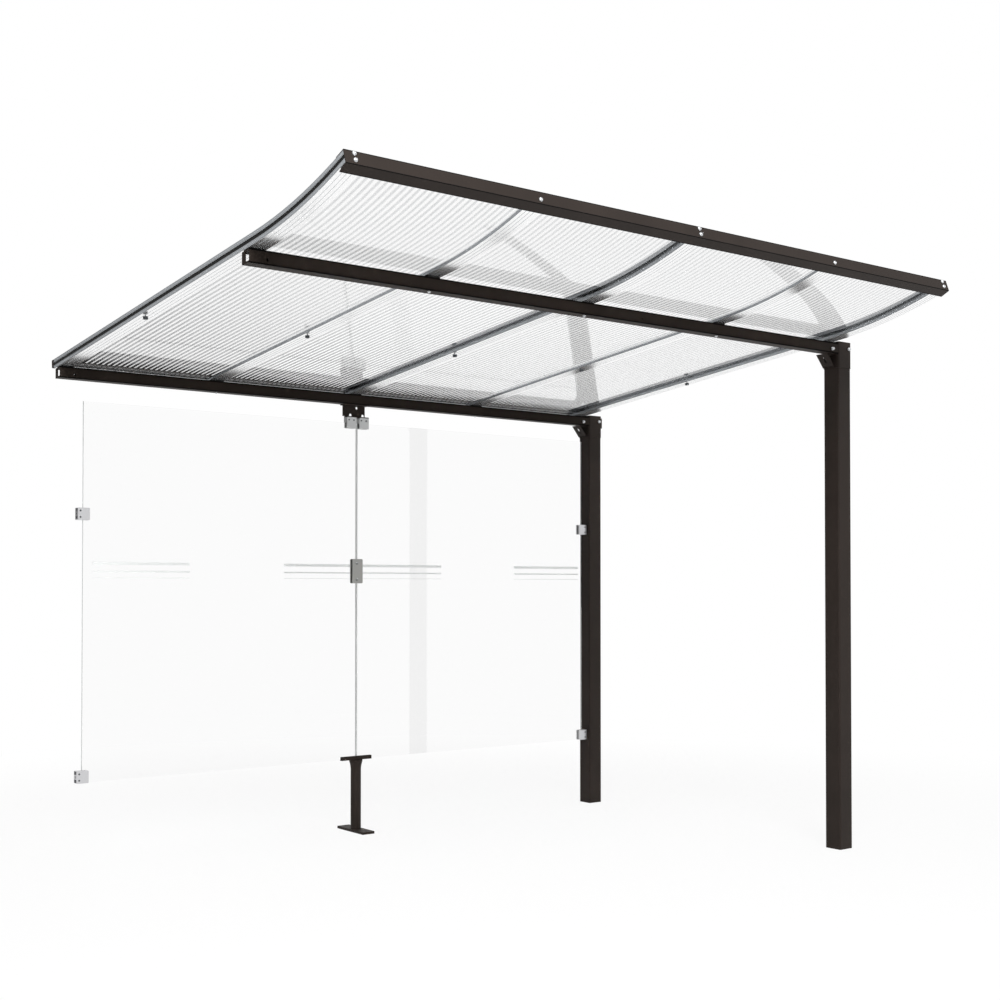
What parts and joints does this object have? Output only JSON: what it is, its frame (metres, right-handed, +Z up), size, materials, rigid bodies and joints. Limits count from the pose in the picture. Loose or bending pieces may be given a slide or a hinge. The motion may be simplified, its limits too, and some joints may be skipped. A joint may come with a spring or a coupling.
{
  "type": "cycle shelter extension bay",
  "caption": "Open lean-to bay on two square posts, with a fluted roof that sweeps up at the front and a clamped glass back wall.",
  "frame": {"origin": "centre of the front post's foot face, on the ground", "axes": "+X along the purlins towards the post side, +Y from the open front to the glass wall, +Z up"},
  "size_m": [2.585, 2.0921, 2.0853],
  "materials": {
    "coated_steel": "fine-textured dark grey-brown powder coat",
    "aluminium": "natural anodised, satin",
    "roof_sheet": "clear multiwall sheet, glossy",
    "safety_glass": "clear, polished edges",
    "rubber": "matt black"
  },
  "bodies": {
    "root": {"front_post": "coated_steel", "rear_post": "coated_steel", "front_post_head": "coated_steel", "rear_post_head": "coated_steel", "front_knee": "coated_steel", "rear_knee": "coated_steel", "front_purlin": "coated_steel", "rear_purlin": "coated_steel", "rafter_pads": "rubber", "rafter_1": "aluminium", "rafter_2": "aluminium", "rafter_3": "aluminium", "rafter_4": "aluminium", "rafter_5": "aluminium", "rafter_cap_1": "aluminium", "rafter_cap_3": "aluminium", "rafter_cap_5": "aluminium", "sheet_left": "roof_sheet", "sheet_right": "roof_sheet", "sheet_seals": "rubber", "edge_beads": "rubber", "front_fascia": "coated_steel", "rear_edge_tube": "coated_steel", "glass_left": "safety_glass", "glass_right": "safety_glass", "clamp_left_upper": "aluminium", "clamp_left_lower": "aluminium", "clamp_right_upper": "aluminium", "clamp_right_lower": "aluminium", "clamp_top_left": "aluminium", "clamp_top_right": "aluminium", "clamp_liners": "rubber", "joint_plate_front": "aluminium", "joint_plate_rear": "aluminium", "joint_plate_liners": "rubber", "glass_hanger": "coated_steel", "glass_foot": "coated_steel", "cradle_bed": "rubber"}
  },
  "joints": []
}
